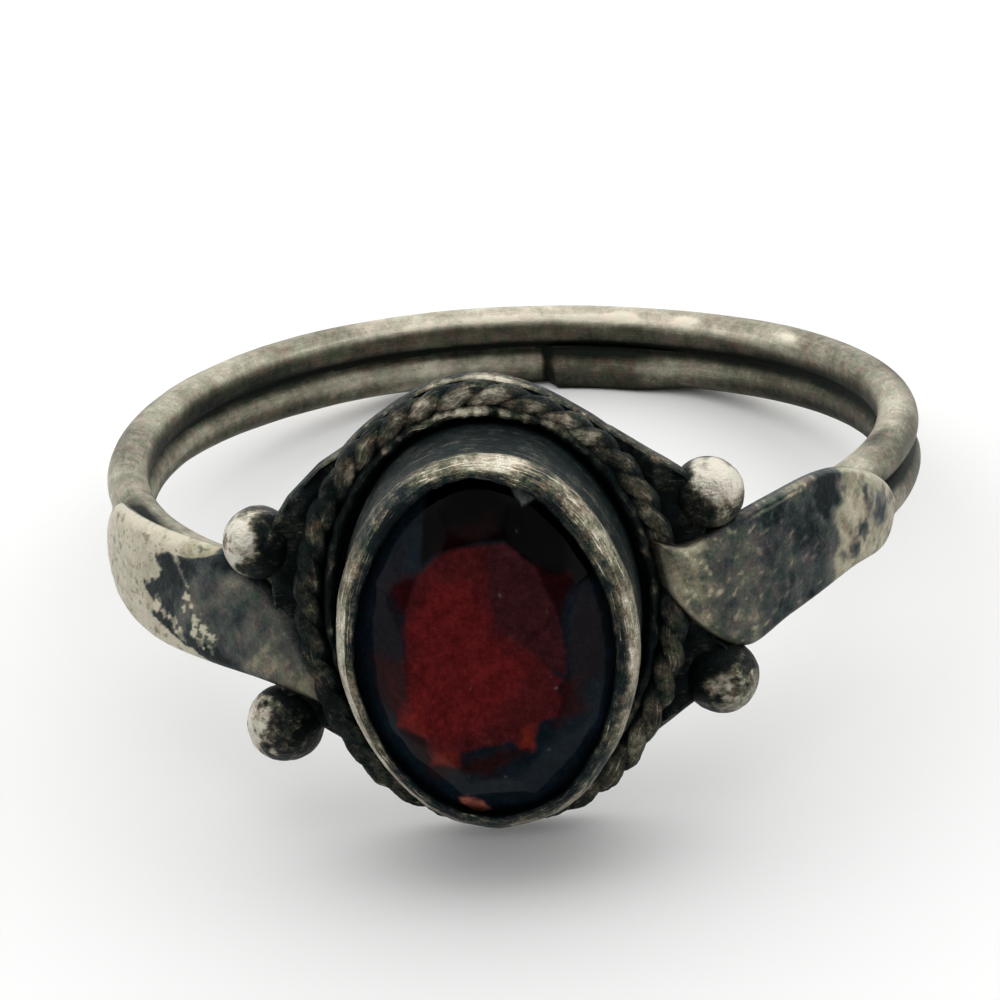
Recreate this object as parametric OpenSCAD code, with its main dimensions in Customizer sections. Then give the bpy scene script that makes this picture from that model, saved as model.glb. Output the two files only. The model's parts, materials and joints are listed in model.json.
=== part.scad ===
// Silver ring with an oval faceted garnet in a closed bezel.
// Two round wires lie side by side as the band. The bezel stands on a plate with a twisted-wire
// border, four silver balls at the plate's corners and a hand-cut leaf over each shoulder.
// The ring lies on its side, on the plate's lower edge and the back of the lower wire.

/* [Band] */
// Inside diameter of the band
finger_d = 17.4; // [16:0.1:20]
// Diameter of each round wire
wire_d = 1.0; // [0.9:0.05:1.2]
// Depth that the two wires share along their solder line
solder_depth = 0.04; // [0.03:0.01:0.08]
// Depth worn flat on the inside of each wire
wear_depth = 0.05; // [0.03:0.01:0.1]

/* [Garnet] */
// Length of the stone
stone_l = 8; // [7.6:0.1:8.4]
// Width of the stone
stone_w = 6; // [5.8:0.1:6.3]
// Height of the crown above the girdle
crown_h = 0.95; // [0.8:0.05:1.1]
// Thickness of the girdle
girdle_h = 0.1; // [0.06:0.02:0.14]
// Depth of the pavilion below the girdle
pavilion_h = 1.9; // [1.6:0.05:1.95]
// Distance from the girdle's outline in to the table
table_inset = 1.2; // [1.0:0.05:1.3]

/* [Setting] */
// Height of the setting's middle above the middle of the band
head_up = 0.1; // [-0.2:0.05:0.4]
// Distance from the ring's centre to the back of the plate
plate_reach = 8.85; // [8.8:0.05:8.95]
// Thickness of the plate
plate_t = 0.45; // [0.4:0.05:0.6]
// Distance from the stone's outline out to the plate's edge
border_w = 1.4; // [1.35:0.05:1.5]
// Height of the bezel above the plate
bezel_h = 3.2; // [3.1:0.05:3.3]
// Thickness of the bezel's wall
bezel_t = 0.3; // [0.26:0.01:0.32]
// Gap between the stone and its seat
stone_gap = 0.03; // [0.02:0.01:0.04]
// Diameter of the twisted wire round the plate
rope_d = 0.66; // [0.6:0.02:0.7]
// Diameter of the thin plain wire inside the twisted one
inner_wire_d = 0.26; // [0.2:0.02:0.28]

/* [Leaves] */
// Thickness of the leaves
leaf_t = 0.4; // [0.35:0.05:0.5]
// Radius of the leaves' outer face
leaf_r = 9.52; // [9.45:0.01:9.6]
// Distance from the ring's centre to the centre of that radius
leaf_shift = 1.2; // [1.1:0.05:1.3]
// Angle from the setting round the band to the middle of a leaf
leaf_angle = 44; // [42:1:46]

/* [Hidden] */
$fn = 64;

// Band
band_r = finger_d / 2 + wire_d / 2 - wear_depth;
wire_up = wire_d / 2 - solder_depth / 2;

// The stone's outline is an oval of four arcs, and every other oval is a parallel of it
side_x = stone_w / 2;
end_y = stone_l / 2;
end_r = 1.09 * side_x * side_x / end_y;
end_c = end_y - end_r;
side_r = (side_x * side_x + end_c * end_c - end_r * end_r) / (2 * (side_x - end_r));
side_c = side_r - side_x;
join_a = atan2(end_c, side_c);
// Each arc: centre along x, centre along y, radius, start angle, sweep
ARCS = [
    [-side_c, 0, side_r, -join_a, 2 * join_a],
    [0, end_c, end_r, join_a, 180 - 2 * join_a],
    [side_c, 0, side_r, 180 - join_a, 2 * join_a],
    [0, -end_c, end_r, 180 + join_a, 180 - 2 * join_a]
];

// Heights above the ring's centre, outwards through the setting
plate_top = plate_reach + plate_t;
lip_top = plate_top + bezel_h;
lip_t = 0.28;
lip_w = 0.14;
lip_round = 0.05;
shoulder_h = 0.6;
girdle_top = lip_top - 0.45;
girdle_low = girdle_top - girdle_h;
seat_w = 0.35;
seat_h = girdle_low - 0.28;
table_h = girdle_top + crown_h;
culet_h = girdle_low - pavilion_h;
wall_x = stone_gap + bezel_t;
rope_h = plate_top + 0.2;
sink = 0.05;
inner_wire_x = border_w - rope_d - 0.14;
inner_wire_h = plate_top + 0.1;

// Corner wings of the plate, which carry the balls: x, y
WING = [[2.8, 3.8], [4.5, 2.55], [5, 1.9]];

// Balls: x, height along the band's axis, distance from the ring's centre plane, diameter
BALLS = [
    [-5.35, 1.70, 8.80, 1.66],
    [-5.00, -2.65, 8.95, 1.72],
    [4.90, 2.20, 8.80, 1.60],
    [4.92, -2.15, 8.95, 1.67]
];

// Outlines of the two hand-cut leaves from the pointed tip: away from the setting, across the band
RIGHT_LEAF = [
    [-4.20, 1.50], [-3.95, 0.20], [-3.00, -0.95], [-2.00, -1.35], [-0.80, -1.05], [1.30, -0.65],
    [2.70, -0.60], [3.55, 0.05], [3.00, 0.90], [1.60, 1.75], [0.30, 2.03], [-1.20, 1.77],
    [-2.60, 1.42], [-3.50, 1.27]
];
LEFT_LEAF = [
    [-3.95, 2.05], [-3.55, 0.55], [-2.85, -0.45], [-2.00, -1.00], [-0.90, -1.25], [1.30, -1.23],
    [3.00, -1.10], [4.20, -0.60], [4.35, 0.30], [3.50, 1.05], [1.50, 1.53], [-0.40, 1.55],
    [-2.00, 1.65], [-3.20, 1.85]
];
LEAF_STEPS = 4;

// Rest: the ring leans back until the plate's lower edge and the lower wire's back share the ground
plate_drop = end_y + border_w - head_up;
rest_reach = plate_reach + band_r;
rest_fall = plate_drop - wire_up;
rest_tilt = atan2(rest_fall, rest_reach) - asin((wire_d / 2) / norm([rest_reach, rest_fall]));
rest_up = band_r * sin(rest_tilt) + wire_up * cos(rest_tilt) + wire_d / 2;
back_y = band_r * cos(rest_tilt) + wire_up * sin(rest_tilt) + wire_d / 2;
table_low = min([for (p = table_ring()) p[1]]) + head_up;
front_y = table_h * cos(rest_tilt) - table_low * sin(rest_tilt);
rest_y = (front_y - back_y) / 2;

// Point on the parallel oval at a normal angle, moved out by a distance
function oval_point(a, out) =
    let (side = abs(cos(a)) >= cos(join_a))
    let (c = side ? [-sign(cos(a)) * side_c, 0] : [0, sign(sin(a)) * end_c])
    c + ((side ? side_r : end_r) + out) * [cos(a), sin(a)];
function oval(out, count, turn = 0) = [for (k = [0 : count - 1]) oval_point(turn + k * 360 / count, out)];
function table_ring() = oval(-table_inset, 8, 22.5);
function lift(ring, h) = [for (p = ring) [p[0], p[1], h]];

// Smooth outline through the rows of a table, with a corner at its first row
function spline(a, b, c, d, t) = 0.5 * (2 * b + (c - a) * t + (2 * a - 5 * b + 4 * c - d) * t * t
    + (3 * b - a - 3 * c + d) * t * t * t);
function outline(rows) =
    let (n = len(rows), p = concat(rows, [rows[0]]))
    [for (i = [0 : n - 1], s = [0 : LEAF_STEPS - 1])
        spline(p[max(i - 1, 0)], p[i], p[i + 1], p[min(i + 2, n)], s / LEAF_STEPS)];

// From the ring's own frame, with its axis along z and the setting towards -y, to the ring at rest
module at_rest() {
    translate([0, rest_y, rest_up])
        rotate([-rest_tilt, 0, 0])
            children();
}

// From the setting's frame, with z outwards from the ring's centre, to the ring's own frame
module at_head() {
    translate([0, 0, head_up])
        rotate([90, 0, 0])
            children();
}

// Profile swept round the oval: x is the distance out from the stone's outline, y the height
module oval_sweep() {
    for (arc = ARCS)
        translate([arc[0], arc[1], 0])
            rotate(arc[3])
                rotate_extrude(angle = arc[4])
                    translate([arc[2], 0])
                        children();
}

// Two wires worn flat inside, and filed off inside the plate, where the bezel stands
module wires() {
    color("#8d867c")
        difference() {
            rotate_extrude()
                difference() {
                    for (side = [-1, 1])
                        translate([band_r, side * wire_up])
                            circle(d = wire_d);
                    translate([0, -wire_d * 2])
                        square([finger_d / 2, wire_d * 4]);
                }
            translate([-stone_w, -band_r - plate_top, -stone_w])
                cube([2 * stone_w, band_r + sink, 2 * stone_w]);
        }
}

// Oval plate with corner wings
module plate() {
    color("#3f3d38")
        translate([0, 0, plate_reach])
            linear_extrude(plate_t) {
                polygon(oval(border_w, 72));
                polygon(concat(
                    WING,
                    [for (i = [len(WING) - 1 : -1 : 0]) [WING[i][0], -WING[i][1]]],
                    [for (p = WING) [-p[0], -p[1]]],
                    [for (i = [len(WING) - 1 : -1 : 0]) [-WING[i][0], WING[i][1]]]
                ));
            }
}

module bezel() {
    color("#8d867c")
        oval_sweep()
            polygon([
                [wall_x, plate_top - sink],
                [wall_x, lip_top - shoulder_h],
                [wall_x * 0.75, lip_top - shoulder_h * 0.62],
                [lip_round - lip_w, lip_top],
                [-lip_w, lip_top - lip_round],
                [-lip_w, lip_top - lip_t],
                [stone_gap, lip_top - lip_t - lip_w],
                [stone_gap, seat_h],
                [-seat_w, seat_h],
                [-seat_w, plate_top - sink]
            ]);
}

module twisted_border() {
    color("#6b6862")
        oval_sweep()
            translate([border_w - rope_d / 2, rope_h])
                circle(d = rope_d);
}

module inner_wire() {
    color("#6b6862")
        oval_sweep()
            translate([inner_wire_x, inner_wire_h])
                circle(d = inner_wire_d, $fn = 10);
}

module ball(row) {
    color("#a8a195")
        translate([row[0], -row[2], row[1]])
            rotate([90, 0, 0])
                rotate(row[1] > 0 ? 90 : -90)
                    sphere(d = row[3]);
}

module leaf(rows) {
    color("#6b6862")
        intersection() {
            translate([0, -leaf_shift, 0])
                difference() {
                    cylinder(r = leaf_r, h = stone_l, center = true);
                    cylinder(r = leaf_r - leaf_t, h = stone_l + 1, center = true);
                }
            rotate(leaf_angle)
                rotate([90, 0, 0])
                    linear_extrude(leaf_r + 2 * leaf_shift)
                        polygon(outline(rows));
        }
}

module silver_mount() {
    at_rest()
        union() {
            wires();
            at_head() {
                plate();
                bezel();
                twisted_border();
                inner_wire();
            }
            for (row = BALLS)
                ball(row);
            leaf(RIGHT_LEAF);
            // The left leaf is cut like the right one and turned half round about the setting
            rotate([0, 180, 0])
                leaf(LEFT_LEAF);
        }
}

// Faceted oval: table, star and kite corners, girdle, pavilion and a short keel
module garnet() {
    keel = (stone_l - stone_w) / 2;
    corners = concat(
        lift(table_ring(), table_h),
        lift(oval(-0.58 * table_inset, 8), girdle_top + 0.64 * crown_h),
        lift(oval(0, 32), girdle_top),
        lift(oval(0, 32), girdle_low),
        lift(oval(-0.62 * side_x, 8), girdle_low - 0.66 * pavilion_h),
        [[0, -keel, culet_h], [0, keel, culet_h]]
    );
    at_rest()
        at_head()
            color("#5a0a10")
                hull()
                    polyhedron(corners, [[for (i = [0 : len(corners) - 1]) i]]);
}

silver_mount();
garnet();
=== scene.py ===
import json
import math

import bmesh
import bpy
import numpy as np
from mathutils import Matrix


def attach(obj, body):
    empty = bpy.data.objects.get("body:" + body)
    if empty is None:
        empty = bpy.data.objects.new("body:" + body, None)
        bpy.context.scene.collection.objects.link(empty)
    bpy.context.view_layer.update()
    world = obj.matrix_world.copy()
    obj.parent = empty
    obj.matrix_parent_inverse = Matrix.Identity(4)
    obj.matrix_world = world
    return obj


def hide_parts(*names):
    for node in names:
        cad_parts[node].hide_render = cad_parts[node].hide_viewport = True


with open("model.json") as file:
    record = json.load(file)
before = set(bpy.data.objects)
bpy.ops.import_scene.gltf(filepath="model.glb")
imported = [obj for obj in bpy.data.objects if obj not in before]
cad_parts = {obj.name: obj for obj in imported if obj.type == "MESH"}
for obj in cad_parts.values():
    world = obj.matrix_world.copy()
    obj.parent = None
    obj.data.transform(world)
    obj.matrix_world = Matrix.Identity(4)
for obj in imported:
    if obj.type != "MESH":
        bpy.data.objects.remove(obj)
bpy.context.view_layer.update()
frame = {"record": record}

# The ring's own frame, in millimetres: x to the right, y to the back, z along the finger hole's axis
hole = next(m for m in frame["record"]["mounts"] if m["name"] == "finger_hole")
CENTRE = np.array(hole["pos_m"], float)
AXIS_Z = np.array(hole["axis"], float)
AXIS_X = np.array([1.0, 0.0, 0.0])
AXIS_Y = np.cross(AXIS_Z, AXIS_X)
TURN = np.stack([AXIS_X, AXIS_Y, AXIS_Z])
MM = 0.001
ROUND = 2 * math.pi

# Camera found from the band's edges in the photograph
CAM_AZ, CAM_EL, CAM_ROLL = math.radians(4.1), math.radians(19.67), math.radians(-4.82)
CAM_DIST = 150.0
CAM_FOCAL = 6.303
CAM_SHIFT = (-0.0141, -0.0356)
SENSOR = 36.0

# Band: radius of its middle line, radius of a wire, and each wire's height above or below the middle
BAND_R = 9.15
WIRE_R = 0.5
WIRE_UP = 0.48

# Setting: its middle's height above the band's, then distances outwards from the ring's centre
HEAD_UP = 0.1
PLATE_BACK, PLATE_TOP = 8.85, 9.3
LIP_TOP = 12.5

# The noise's hash: a prime for each axis, the seed's step and start, and the multiplier that mixes the bits
HASH_PRIMES = (73856093, 19349663, 83492791)
SEED_STEP, SEED_START = 2654435761, 12345
HASH_MIX, WORD = 0x45D9F3B, 0xFFFFFFFF
NOISE_GAIN = 1.6

# Vertices nearer than this, in metres, are joined, and faces thinner than this are dropped
SAME_POINT, THIN_FACE = 2e-8, 1e-8


def to_row(p):
    """Points in the ring's frame, in millimetres, to the row frame in metres."""
    return CENTRE + (np.asarray(p, float) * MM) @ TURN


def head(x, y, h):
    """Setting coordinates (x right, y up, h outwards) to the ring's frame."""
    x, y, h = np.broadcast_arrays(np.asarray(x, float), np.asarray(y, float), np.asarray(h, float))
    return np.stack([x, -h, y + HEAD_UP], -1)


def smooth(a, b, t):
    """0 where t is at a, 1 where it is at b, and an S-shaped rise between."""
    t = np.clip((np.asarray(t, float) - a) / (b - a), 0, 1)
    return t * t * (3 - 2 * t)


def hill(x, at, width):
    """1 where x is at, falling off over width."""
    return np.exp(-((x - at) / width) ** 2)


def bump(a, at, width):
    """1 where the angle a is at, in degrees, falling off over width."""
    return hill((np.degrees(np.asarray(a)) - at + 180) % 360 - 180, 0, width)


def bumps(a, rows):
    """Sum of bumps. A row holds the angle, the width and the height."""
    return sum(height * bump(a, at, width) for at, width, height in rows)


def noise(p, seed=0):
    """Gradient noise, about -1 to 1, one value for each point."""
    p = np.asarray(p, float)
    base = np.floor(p).astype(np.int64)
    f = p - base
    w = f * f * f * (f * (f * 6 - 15) + 10)
    total = np.zeros(p.shape[:-1])
    for c in range(8):
        o = np.array([c & 1, c >> 1 & 1, c >> 2 & 1])
        h = seed * SEED_STEP + SEED_START
        for k, prime in enumerate(HASH_PRIMES):
            h = h ^ (base + o)[..., k] * prime
        h &= WORD
        for _ in range(2):
            h = ((h >> 16) ^ h) * HASH_MIX & WORD
        h = (h >> 16) ^ h
        slope = np.stack([(h >> shift & 1023) / 511.5 - 1 for shift in (0, 10, 20)], -1)
        total += np.prod(np.where(o == 1, w, 1 - w), axis=-1) * ((f - o) * slope).sum(-1)
    return total * NOISE_GAIN


def fbm(p, octaves=4, seed=0):
    """Noise with finer and weaker noise added to it."""
    p = np.asarray(p, float)
    return sum(noise(p * 2 ** k, seed + k) / 2 ** k for k in range(octaves))


def grid(n, m, wrap_n=False, wrap_m=False, start=0, flip=False):
    """Quads over an n by m table of vertices."""
    i = np.arange(n if wrap_n else n - 1)
    j = np.arange(m if wrap_m else m - 1)
    i, j = np.meshgrid(i, j, indexing="ij")
    i, j = i.ravel(), j.ravel()
    i1, j1 = (i + 1) % n, (j + 1) % m
    q = np.stack([i * m + j, i1 * m + j, i1 * m + j1, i * m + j1], -1) + start
    return q[:, ::-1] if flip else q


def piece(name, points, faces, material, tone=None, sharp=40, grain=None):
    """A mesh from points in the ring's frame. tone is the patina, with painted light and shade, at each
    point: 0 bright, 1 dark.
    grain is each point's place along and across the polishing marks, in millimetres. Faces that meet at more
    than sharp degrees show an edge."""
    mesh = bpy.data.meshes.new(name)
    at = to_row(points)
    at[:, 2] = np.maximum(at[:, 2], 0)
    mesh.from_pydata(at.tolist(), [], [tuple(int(v) for v in f) for f in faces])
    if tone is not None:
        mesh.attributes.new("tone", "FLOAT", "POINT").data.foreach_set("value", np.asarray(tone, np.float32))
        grain = np.asarray(points if grain is None else grain, np.float32)
        mesh.attributes.new("grain", "FLOAT_VECTOR", "POINT").data.foreach_set("vector", grain.ravel())
    bm = bmesh.new()
    bm.from_mesh(mesh)
    bmesh.ops.remove_doubles(bm, verts=bm.verts, dist=SAME_POINT)
    bmesh.ops.dissolve_degenerate(bm, dist=THIN_FACE, edges=bm.edges)
    bmesh.ops.recalc_face_normals(bm, faces=bm.faces)
    bm.to_mesh(mesh)
    bm.free()
    mesh.shade_smooth()
    mesh.set_sharp_from_angle(angle=math.radians(sharp))
    mesh.materials.append(material)
    obj = bpy.data.objects.new(name, mesh)
    bpy.context.scene.collection.objects.link(obj)
    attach(obj, "root")
    return obj


# Oval of the stone: four arcs, and every other oval is a parallel of it
SIDE_X, END_Y = 3.0, 4.0
END_R = 1.09 * SIDE_X ** 2 / END_Y
END_C = END_Y - END_R
SIDE_R = (SIDE_X ** 2 + END_C ** 2 - END_R ** 2) / (2 * (SIDE_X - END_R))
SIDE_C = SIDE_R - SIDE_X
JOIN = math.atan2(END_C, SIDE_C)
OVAL_ROUND = 22.0


def oval_at(a, out):
    """Point at normal angle a on the parallel oval."""
    a = np.asarray(a, float)
    side = np.abs(np.cos(a)) >= math.cos(JOIN)
    cx = np.where(side, -np.sign(np.cos(a)) * SIDE_C, 0)
    cy = np.where(side, 0, np.sign(np.sin(a)) * END_C)
    r = np.where(side, SIDE_R, END_R) + out
    return cx + r * np.cos(a), cy + r * np.sin(a)


def oval_angles(n, out):
    """n normal angles at even steps along the parallel oval, and its length."""
    a = np.linspace(0, ROUND, 7201)
    x, y = oval_at(a, out)
    s = np.concatenate([[0], np.cumsum(np.hypot(np.diff(x), np.diff(y)))])
    return np.interp(np.arange(n) / n * s[-1], s, a), s[-1]


def around(a, k, seed):
    """Smooth noise round the oval, about k bumps in each quarter."""
    return noise(np.stack([np.cos(a) * k, np.sin(a) * k, 0 * a + 0.37], -1), seed)


# Materials
class Nodes:
    """Short names for the few shader nodes in use, in the tree of a material or of the world."""

    def __init__(self, owner):
        owner.use_nodes = True
        self.owner = owner
        self.tree = owner.node_tree

    def add(self, kind, **values):
        n = self.tree.nodes.new(kind)
        for k, v in values.items():
            setattr(n, k, v)
        return n

    def put(self, socket, value):
        """Links another node's output to the socket, or sets a plain value there."""
        if isinstance(value, bpy.types.NodeSocket):
            self.tree.links.new(value, socket)
        else:
            socket.default_value = value

    def feed(self, node, values):
        for key, value in values.items():
            self.put(node.inputs[key], value)

    def shader(self, values):
        self.feed(self.tree.nodes["Principled BSDF"], values)

    def attribute(self, name, output):
        return self.add("ShaderNodeAttribute", attribute_name=name).outputs[output]

    def math(self, operation, a, b, clamp=False):
        n = self.add("ShaderNodeMath", operation=operation, use_clamp=clamp)
        self.feed(n, {0: a, 1: b})
        return n.outputs[0]

    def ramp(self, value, stops):
        """A colour or a grey for each value, straight between the stops."""
        n = self.add("ShaderNodeValToRGB")
        e = n.color_ramp.elements
        while len(e) < len(stops):
            e.new(0.5)
        for el, (at, colour) in zip(e, stops):
            el.position = at
            el.color = (*colour, 1) if isinstance(colour, tuple) else (colour, colour, colour, 1)
        self.put(n.inputs[0], value)
        return n.outputs[0]

    def fade(self, value, low, high, at_low, at_high):
        """at_low for values under low, at_high for values over high, and an S-shaped rise between."""
        n = self.add("ShaderNodeMapRange", interpolation_type="SMOOTHSTEP")
        self.feed(n, {"Value": value, "From Min": low, "From Max": high, "To Min": at_low, "To Max": at_high})
        return n.outputs["Result"]

    def mapped(self, vector, scale, turn=0.0, shift=(0, 0, 0)):
        n = self.add("ShaderNodeMapping")
        self.feed(n, {"Vector": vector, "Scale": scale, "Rotation": (0, 0, turn), "Location": shift})
        return n.outputs["Vector"]

    def coords(self):
        """Places on the object, in millimetres."""
        return self.mapped(self.add("ShaderNodeTexCoord").outputs["Object"], (1 / MM,) * 3)

    def noise(self, coords, scale, detail, rough):
        n = self.add("ShaderNodeTexNoise")
        self.feed(n, {"Vector": coords, "Scale": scale, "Detail": detail, "Roughness": rough})
        return n.outputs["Fac"]

    def mix(self, fac, a, b, blend="MIX"):
        n = self.add("ShaderNodeMix", data_type="RGBA", blend_type=blend)
        self.feed(n, {0: fac, 6: a, 7: b})
        return n.outputs[2]

    def bump(self, height, depth, strength, under=None):
        """Normals of a relief, depth in millimetres, over other normals where they are given."""
        n = self.add("ShaderNodeBump")
        self.feed(n, {"Strength": strength, "Distance": depth * MM, "Height": height})
        if under is not None:
            self.put(n.inputs["Normal"], under)
        return n.outputs["Normal"]


# Tones of the five shades, and how deep a hollow has to be, in millimetres, to collect dirt
SHADE_TONES = (0.0, 0.28, 0.52, 0.78, 1.0)
HOLLOW = 0.4
GREENISH, REDDISH = (0.78, 1.0, 0.80), (1.28, 0.96, 0.96)


def silver(name, shades, blotch, fine, scratch, worn, relief, rough, metal):
    """Worn, tarnished silver, in five shades from bright to black. The point attribute tone says where it is
    dark, and noise breaks that up: blotch in broad patches, fine in grains, scratch along the polishing
    marks, worn in rubbed high spots. relief is the depth of its pits. rough is its roughness where bright and
    where black. metal is how much of the bright silver's light is a mirror's: the rest is its matt skin's."""
    m = Nodes(bpy.data.materials.new(name))
    p = m.coords()
    grain = m.attribute("grain", "Vector")
    open_sky = m.add("ShaderNodeAmbientOcclusion", samples=6)
    open_sky.inputs["Distance"].default_value = HOLLOW * MM
    broad = m.noise(p, 1.0, 5, 0.62)
    mid = m.noise(p, 4.2, 6, 0.68)
    grit = m.noise(p, 19.0, 5, 0.72)
    peaks = m.ramp(m.noise(p, 6.0, 6, 0.66), [(0.53, 0.0), (0.66, 1.0)])

    def strokes(turn, shift):
        stretched = m.mapped(grain, (1.1, 15.0, 15.0), turn, (shift, 2 * shift, 0))
        return m.noise(stretched, 1.0, 3, 0.6)

    line_a, line_b = strokes(0.25, 3.0), strokes(-0.4, 7.0)
    lines = m.math("MAXIMUM", m.ramp(line_a, [(0.56, 0.0), (0.68, 1.0)]),
                   m.ramp(line_b, [(0.58, 0.0), (0.70, 1.0)]))
    t = m.attribute("tone", "Fac")
    for value, weight in ((broad, 1.0 * blotch), (mid, 0.85 * blotch), (grit, 0.65 * fine),
                          (line_a, 0.4 * scratch)):
        t = m.math("ADD", t, m.math("MULTIPLY", m.math("SUBTRACT", value, 0.5), weight))
    t = m.math("SUBTRACT", t, m.math("MULTIPLY", peaks, 0.45 * worn))
    t = m.math("SUBTRACT", t, m.math("MULTIPLY", lines, 0.28 * scratch))
    hollow = m.math("SUBTRACT", 1.0, open_sky.outputs["AO"])
    t = m.math("ADD", t, m.math("MULTIPLY", hollow, 0.6), clamp=True)
    colour = m.ramp(t, list(zip(SHADE_TONES, shades)))
    tint = m.ramp(m.noise(p, 2.6, 5, 0.66), [(0.36, GREENISH), (0.5, (1.0, 1.0, 1.0)), (0.64, REDDISH)])
    n = m.bump(line_a, 0.014 * scratch, 0.8)
    n = m.bump(line_b, 0.012 * scratch, 0.8, n)
    n = m.bump(m.noise(p, 3.4, 6, 0.62), 0.06 * relief, 0.9, n)
    n = m.bump(grit, 0.022 * relief, 0.8, n)
    m.shader({
        "Base Color": m.mix(m.ramp(t, [(0.2, 0.2), (0.75, 1.0)]), colour, tint, "MULTIPLY"),
        "Metallic": m.ramp(t, [(0.25, metal), (0.8, 0.6)]),
        "Roughness": m.ramp(t, [(0.0, rough[0]), (0.5, 0.5 * (rough[0] + rough[1])), (1.0, rough[1])]),
        "Specular IOR Level": 0.15,
        "Normal": n,
    })
    return m.owner


BAND = silver("band_silver", ((0.77, 0.71, 0.575), (0.36, 0.34, 0.26), (0.13, 0.121, 0.088),
                              (0.042, 0.043, 0.031), (0.009, 0.012, 0.009)),
              blotch=0.55, fine=0.45, scratch=0.4, worn=0.0, relief=0.6, rough=(0.42, 0.6), metal=0.5)
LEAF = silver("leaf_silver", ((0.57, 0.53, 0.41), (0.335, 0.308, 0.21), (0.130, 0.130, 0.110),
                              (0.045, 0.057, 0.059), (0.006, 0.012, 0.013)),
              blotch=0.7, fine=0.6, scratch=0.3, worn=0.15, relief=1.0, rough=(0.30, 0.5), metal=0.9)
BALL = silver("ball_silver", ((0.70, 0.66, 0.565), (0.40, 0.37, 0.29), (0.12, 0.11, 0.08),
                              (0.022, 0.028, 0.024), (0.004, 0.008, 0.008)),
              blotch=1.5, fine=0.6, scratch=1.0, worn=0.35, relief=1.2, rough=(0.28, 0.46), metal=0.75)
DARK = silver("oxidised_silver", ((0.70, 0.64, 0.52), (0.32, 0.295, 0.22), (0.11, 0.10, 0.07),
                                  (0.026, 0.037, 0.034), (0.009, 0.015, 0.015)),
              blotch=1.5, fine=0.6, scratch=1.4, worn=0.3, relief=2.6, rough=(0.3, 0.6), metal=0.9)
RIM = silver("rim_silver", ((0.78, 0.73, 0.60), (0.385, 0.35, 0.255), (0.13, 0.118, 0.078),
                            (0.022, 0.034, 0.036), (0.006, 0.012, 0.014)),
             blotch=1.3, fine=1.2, scratch=2.0, worn=0.3, relief=1.4, rough=(0.22, 0.5), metal=0.85)

# Band: two wires side by side. PHI goes round the band from its back, to the right, and ALPHA round a wire
# from its outside, over its top
PHI = np.arange(420) / 420 * ROUND
ALPHA = np.arange(44) / 44 * ROUND
# How far the band is out of true, along the finger
turned = PHI + CAM_AZ
WARP = (-0.09 * np.cos(2 * turned) - 0.17 * np.sin(2 * turned) + 0.09 * np.maximum(0, np.cos(turned)) ** 2
        - 0.06 * (1 - smooth(0.35, 0.85, np.sin(PHI))))
# Upper wire: where the tarnish and painted shade on its inner side start, in degrees round the wire, by the
# place across the hole
TARNISH_AND_SHADE_FROM = ([-6.5, -4, -2, 3.5, 5.2, 7.2, 8.3, 9.1], [166, 159, 157, 157, 169, 190, 182, 168])
# Upper wire: painted shade on its top, which dims the painted highlight there, by the distance from the
# middle
TOP_PAINTED_SHADE = ([0, 3, 4.6, 5.8, 6.9, 8.5], [0.18, 0.22, 0.33, 0.23, 0.04, -0.05])
# Upper wire: how far round the wire the painted shade in the crease above the left leaf goes, by the angle
# round the band
CREASE_SHADE_TO = ([-150, -128, -118, -113], [38, 48, 66, 84])
# Upper wire: patches on its top, darker where how dark is above zero and lighter where below: angle and width
# round the band, how dark, and how far up the side they start
TOP_PATCHES = [(-84, 26, 0.14, 0.1), (-38, 26, -0.12, 0.2), (62, 14, 0.08, 0.2)]
# Upper wire: dark spots, and painted glints where how dark is below zero: by the angle and width round the
# band, the angle and width round the wire, and how dark
SPOTS_AND_GLINTS = [(-117, 6.5, 56, 24, 0.85), (108, 4, 95, 30, 0.4)]
# Painted glints: small bright spots near the inner edge of the wire's top
SPOTS_AND_GLINTS += [(at, 2.2, 128, 13, -0.5) for at in (16, 27, 48)]


def inner_side(al):
    return smooth(-0.1, 0.35, -np.cos(al))


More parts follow.
